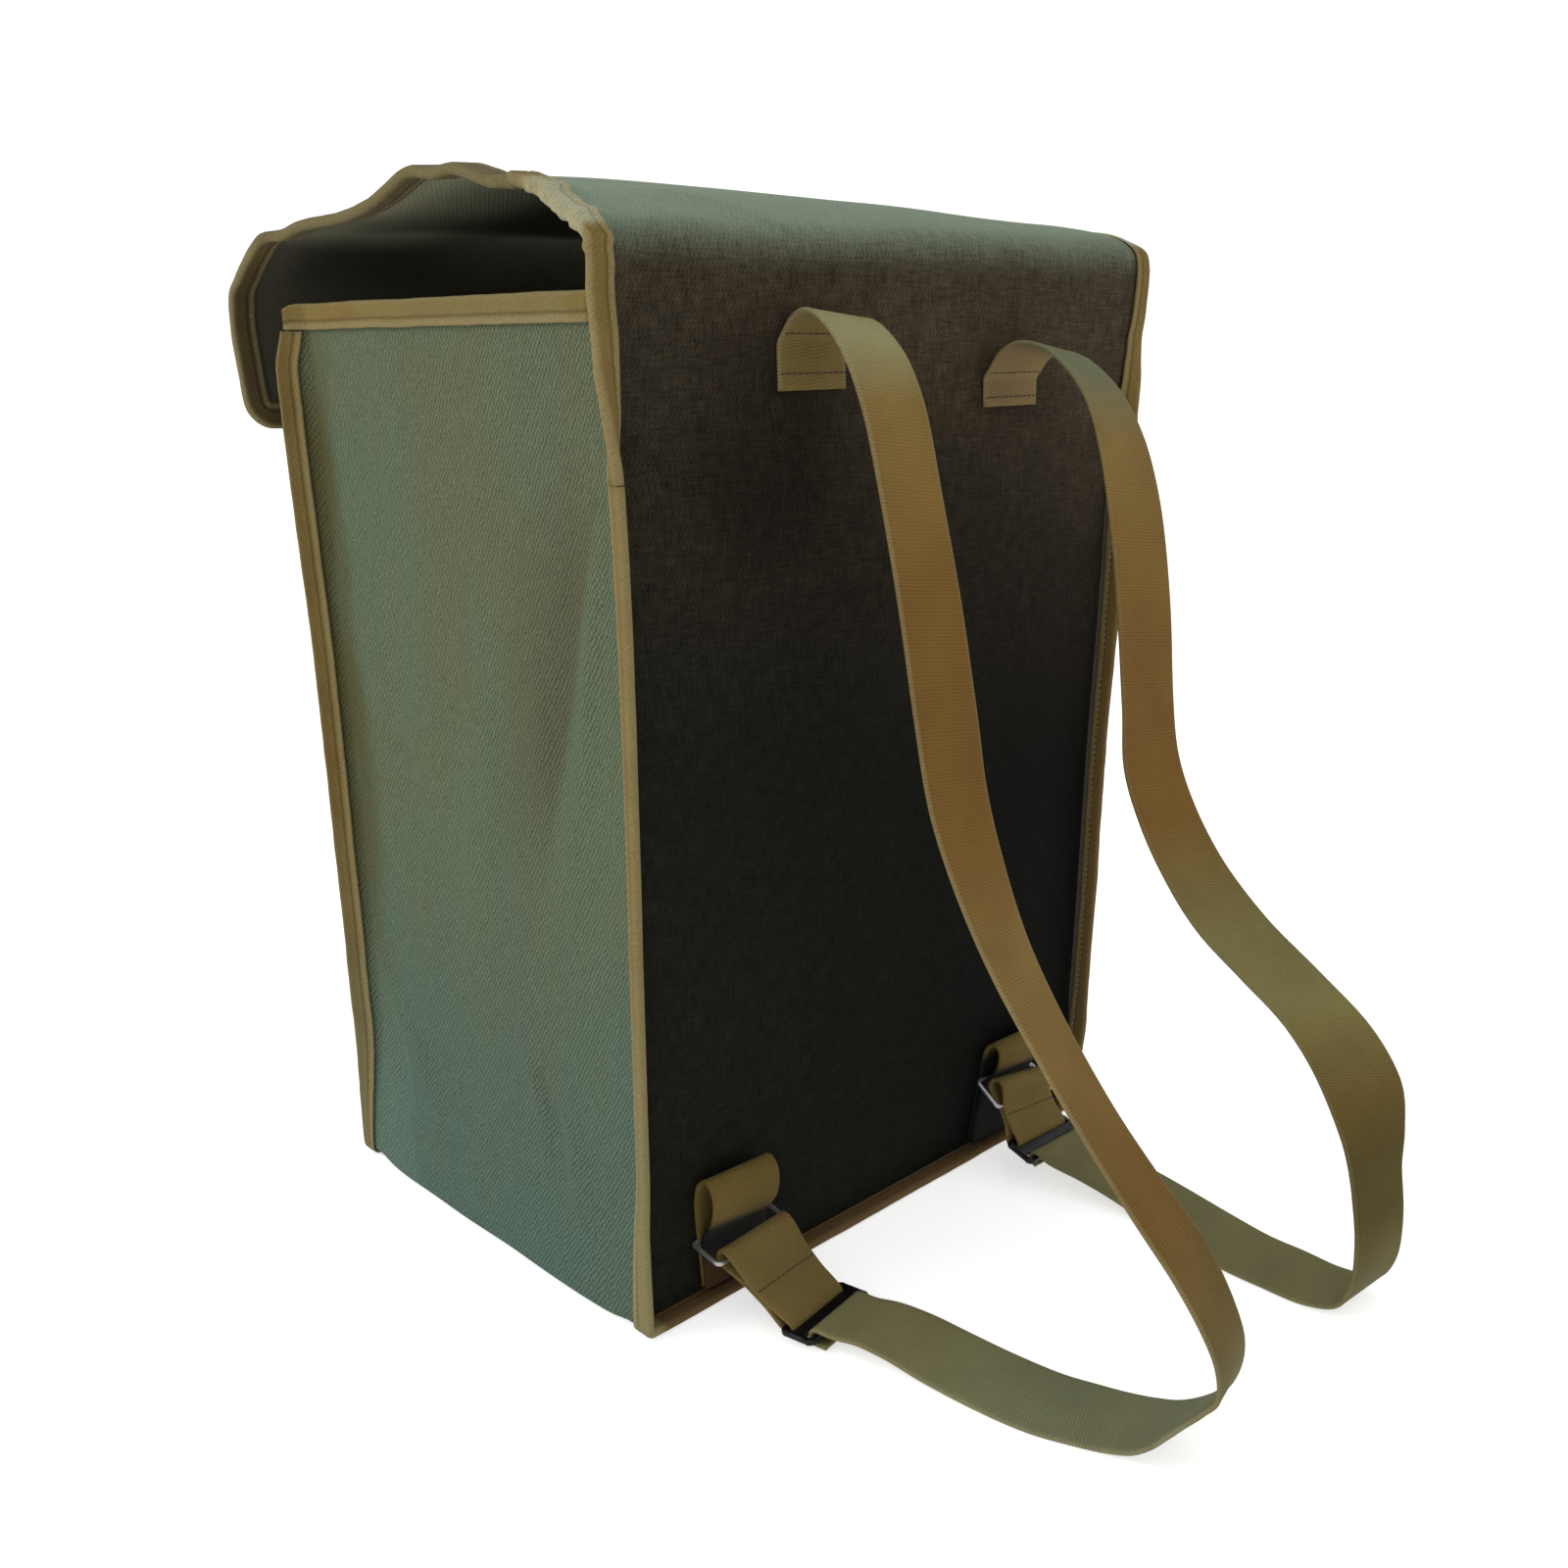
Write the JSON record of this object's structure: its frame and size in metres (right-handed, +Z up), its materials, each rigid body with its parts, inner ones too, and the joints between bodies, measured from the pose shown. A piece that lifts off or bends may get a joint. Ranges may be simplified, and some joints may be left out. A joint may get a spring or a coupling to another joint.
{
  "type": "tool backpack",
  "caption": "Canvas tool backpack with a fold-over flap that leaves the mouth open at the sides, tape-bound edges, and webbing shoulder straps on steel rings and sliders.",
  "frame": {"origin": "centre of the bag's flat bottom, on the floor", "axes": "+Z up, +Y out of the back where the straps are, +X to the wearer's right"},
  "size_m": [0.345, 0.5213, 0.4906],
  "materials": {
    "canvas": "matt grey-green waxed cotton canvas, fine diagonal weave",
    "binding_tape": "matt khaki cotton binding tape, folded and stitched",
    "webbing": "ribbed tan-olive cotton webbing with firm edges",
    "steel": "dark blued steel, satin"
  },
  "bodies": {
    "root": {"gusset": "canvas", "front_panel": "canvas", "back_flap_panel": "canvas", "front_seam_binding": "binding_tape", "back_seam_binding": "binding_tape", "flap_binding": "binding_tape", "front_mouth_binding": "binding_tape", "mouth_binding_right": "binding_tape", "mouth_binding_left": "binding_tape", "keeper_loop_right": "webbing", "ring_right": "steel", "end_loop_right": "webbing", "slider_right": "steel", "strap_right": "webbing", "keeper_loop_left": "webbing", "ring_left": "steel", "end_loop_left": "webbing", "slider_left": "steel", "strap_left": "webbing"}
  },
  "joints": []
}
